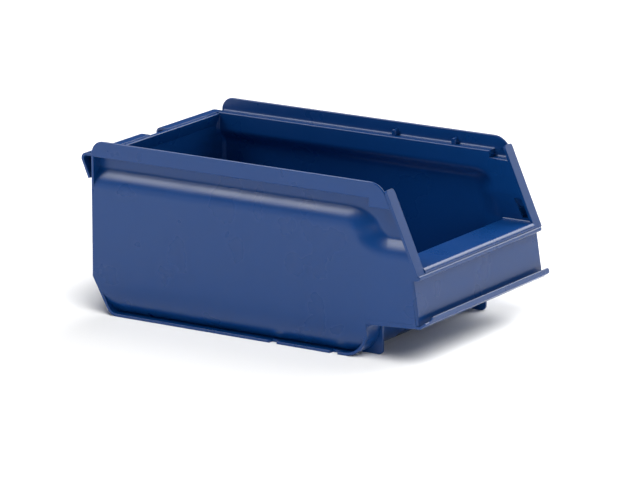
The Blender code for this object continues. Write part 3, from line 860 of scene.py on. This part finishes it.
class BIN_OT_back(bpy.types.Operator):
    """Adds the back wall with its thick rim, and the two hooks that hang the bin on a rail"""

    bl_idname = "bin.back"
    bl_label = "Back wall and hooks"

    def execute(self, context):
        sizes = context.scene.bin_sizes
        head = LEDGE_TOP - WALL / 2

        def at_rear(middle):
            return middle.y > REAR - WALL / 2

        panel = [(-SIDE, HAUNCH_TOP), (SIDE, HAUNCH_TOP), (SIDE, head), (-SIDE, head)]
        shape = bmesh.new()
        prism(shape, "Y", panel, REAR - WALL, REAR, sizes.edge, at_rear)
        as_piece("back_moulding", shape, ["back_wall"])
        # The rim's thick top tapers down to the wall and ends just inside the wall's outer face.
        rim_low, rim_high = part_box("rear_rim")
        rim_rear, taper_foot = REAR - 0.4 * MM, rim_low.z - 7 * MM
        rim = [
            (REAR - WALL, taper_foot),
            (rim_low.y, rim_low.z + MM),
            (rim_low.y, rim_high.z),
            (rim_rear, rim_high.z),
            (rim_rear, taper_foot),
        ]
        shape = bmesh.new()
        prism(shape, "X", rim, rim_low.x, rim_high.x, sizes.edge, lambda middle: middle.y < REAR - MM)
        as_piece("rear_rim_moulding", shape, ["rear_rim"])
        for side, sign in SIDES.items():
            name = f"{side}_hanging_hook"
            shape = bmesh.new()
            prism(shape, "X", hook_outline(), sign * HOOK_INNER_END, sign * HOOK_OUTER_END, sizes.fine_edge)
            as_piece(f"{name}_moulding", shape, [name])
        return {"FINISHED"}


def hook_outline():
    """The (y, z) section of a hook: out over the rim, then down and back in towards the wall."""
    bend = 5 * MM
    centre = (HOOK_REACH - bend, HOOK_CROWN - bend)
    tip_y, tip_z = REAR + 5 * MM, HOOK_TIP + 2 * MM
    points = [(REAR - MM, HOOK_CROWN)] + arc(centre, bend, 90, 0, steps=8)
    points += [(HOOK_REACH, HOOK_NOSE), (tip_y, tip_z), (tip_y - WALL, tip_z + 0.8 * MM)]
    points += [(HOOK_REACH - WALL, HOOK_NOSE)] + arc(centre, bend - WALL, 0, 90, steps=8)
    return points + [(REAR - MM, HOOK_CROWN - WALL)]


class BIN_OT_foot_ribs(bpy.types.Operator):
    """Adds the two short ribs that stand under the front"""

    bl_idname = "bin.foot_ribs"
    bl_label = "Foot ribs"

    def execute(self, context):
        sizes = context.scene.bin_sizes
        corner = 4 * MM
        centre = (PROW_START, PROW_TOP - 3.5 * MM)
        reach = PROW_START - PROW_FRONT - WALL / 2
        curve = arc(centre, reach, -180, -105, steps=8, rise=centre[1] - WALL / 2)
        foot = arc((RIB_FRONT + corner, corner), corner, -90, -180)
        outline = foot + [(RIB_FRONT, RIB_TOP)] + curve + [(RIB_REAR, 0)]
        for side in SIDES:
            name = f"{side}_foot_rib"
            shape = bmesh.new()
            prism(shape, "X", outline, low(name).x, high(name).x, sizes.fine_edge)
            as_piece(f"{name}_moulding", shape, [name])
        return {"FINISHED"}


class BIN_OT_stage(bpy.types.Operator):
    """Adds the white studio floor, the soft lights and the camera"""

    bl_idname = "bin.stage"
    bl_label = "Studio stage"

    def execute(self, context):
        scene = context.scene
        scene.view_settings.view_transform = "Standard"
        shape = bmesh.new()
        bmesh.ops.create_grid(shape, x_segments=2, y_segments=2, size=15)
        mesh = bpy.data.meshes.new("studio_floor")
        shape.to_mesh(mesh)
        shape.free()
        floor = bpy.data.objects.new("studio_floor", mesh)
        scene.collection.objects.link(floor)
        material = bpy.data.materials.new("matt_white_paper")
        material.use_nodes = True
        shader = material.node_tree.nodes["Principled BSDF"]
        shader.inputs["Base Color"].default_value = linear(scene.bin_colours.floor)
        shader.inputs["Roughness"].default_value = 0.9
        shader.inputs["Specular IOR Level"].default_value = 0.1
        mesh.materials.append(material)
        world = bpy.data.worlds.new("white_studio")
        world.use_nodes = True
        sky = world.node_tree.nodes["Background"]
        sky.inputs["Color"].default_value = (1.0, 1.0, 1.0, 1.0)
        sky.inputs["Strength"].default_value = 0.06
        scene.world = world
        # The floor has a light of its own and is left out of the rear banks, so that it stays evenly
        # pale while they draw the long highlights on the shoulders.
        add_bank("overhead_bank", (0.6, -0.2, 0.77), 60, 1.6)
        rear = add_bank("rear_bank", (-0.28, 0.52, 0.8), 34, 2.5)
        rear_right = add_bank("rear_right_bank", (0.35, 0.52, 0.78), 34, 0.6)
        add_bank("right_bank", (0.82, -0.22, 0.53), 48, 2.0)
        add_bank("left_rear_card", (-0.85, 0.52, 0.15), 34, 0.3)
        add_bank("left_card", (-0.8, -0.58, 0.1), 18, 0.45)
        add_bank("front_card", (-0.55, -0.77, 0.33), 20, 0.28)
        wash = add_bank("floor_wash", (-0.4, -0.45, 0.8), 40, 3.1)
        link_floor(wash, floor, "INCLUDE")
        link_floor(rear, floor, "EXCLUDE")
        link_floor(rear_right, floor, "EXCLUDE")
        add_camera()
        return {"FINISHED"}


def link_floor(lamp, floor, state):
    """Lets a lamp light the floor alone (INCLUDE), or everything but the floor (EXCLUDE)."""
    chosen = bpy.data.collections.new(f"{lamp.name}_floor")
    chosen.objects.link(floor)
    chosen.collection_objects[0].light_linking.link_state = state
    lamp.light_linking.receiver_collection = chosen


def add_bank(name, towards, spread, strength):
    """A far, soft bank of light in a direction, this many degrees across."""
    light = bpy.data.lights.new(name, "SUN")
    light.angle = math.radians(spread)
    light.energy = strength
    lamp = bpy.data.objects.new(name, light)
    lamp.rotation_euler = Vector(towards).to_track_quat("Z", "Y").to_euler()
    bpy.context.scene.collection.objects.link(lamp)
    return lamp


def add_camera():
    """A long lens far off at the bin's front left, looking slightly down."""
    azimuth, elevation = math.radians(-57.55), math.radians(14.33)
    back = Vector((
        math.sin(azimuth) * math.cos(elevation),
        -math.cos(azimuth) * math.cos(elevation),
        math.sin(elevation),
    ))
    lens = bpy.data.cameras.new("studio_camera")
    lens.lens = 277.15
    lens.sensor_width = 36
    camera = bpy.data.objects.new("studio_camera", lens)
    camera.location = (-3.4821, -2.2194, 1.1204)
    camera.rotation_euler = back.to_track_quat("Z", "Y").to_euler()
    bpy.context.scene.collection.objects.link(camera)
    bpy.context.scene.camera = camera


PIECES = (
    BIN_OT_side_walls,
    BIN_OT_base,
    BIN_OT_rails,
    BIN_OT_front_rims,
    BIN_OT_front,
    BIN_OT_label_lip,
    BIN_OT_back,
    BIN_OT_foot_ribs,
    BIN_OT_stage,
)


class BIN_PT_sidebar(bpy.types.Panel):
    """Lists the bin's sizes, colours and pieces"""

    bl_idname = "BIN_PT_sidebar"
    bl_label = "Stacking bin"
    bl_space_type = "VIEW_3D"
    bl_region_type = "UI"
    bl_category = "Bin"

    def draw(self, context):
        for group in (context.scene.bin_sizes, context.scene.bin_colours):
            for name in group.bl_rna.properties.keys():
                if name not in ("rna_type", "name"):
                    self.layout.prop(group, name)
        for piece in PIECES:
            self.layout.operator(piece.bl_idname)


CLASSES = (BinSizes, BinColours, *PIECES, BIN_PT_sidebar)


def register():
    for cls in CLASSES:
        bpy.utils.register_class(cls)
    bpy.types.Scene.bin_sizes = bpy.props.PointerProperty(type=BinSizes)
    bpy.types.Scene.bin_colours = bpy.props.PointerProperty(type=BinColours)


def unregister():
    del bpy.types.Scene.bin_colours
    del bpy.types.Scene.bin_sizes
    for cls in reversed(CLASSES):
        bpy.utils.unregister_class(cls)


def main():
    register()
    bpy.ops.bin.side_walls()
    bpy.ops.bin.base()
    bpy.ops.bin.rails()
    bpy.ops.bin.front_rims()
    bpy.ops.bin.front()
    bpy.ops.bin.label_lip()
    bpy.ops.bin.back()
    bpy.ops.bin.foot_ribs()
    bpy.ops.bin.stage()


if __name__ == "__main__":
    main()
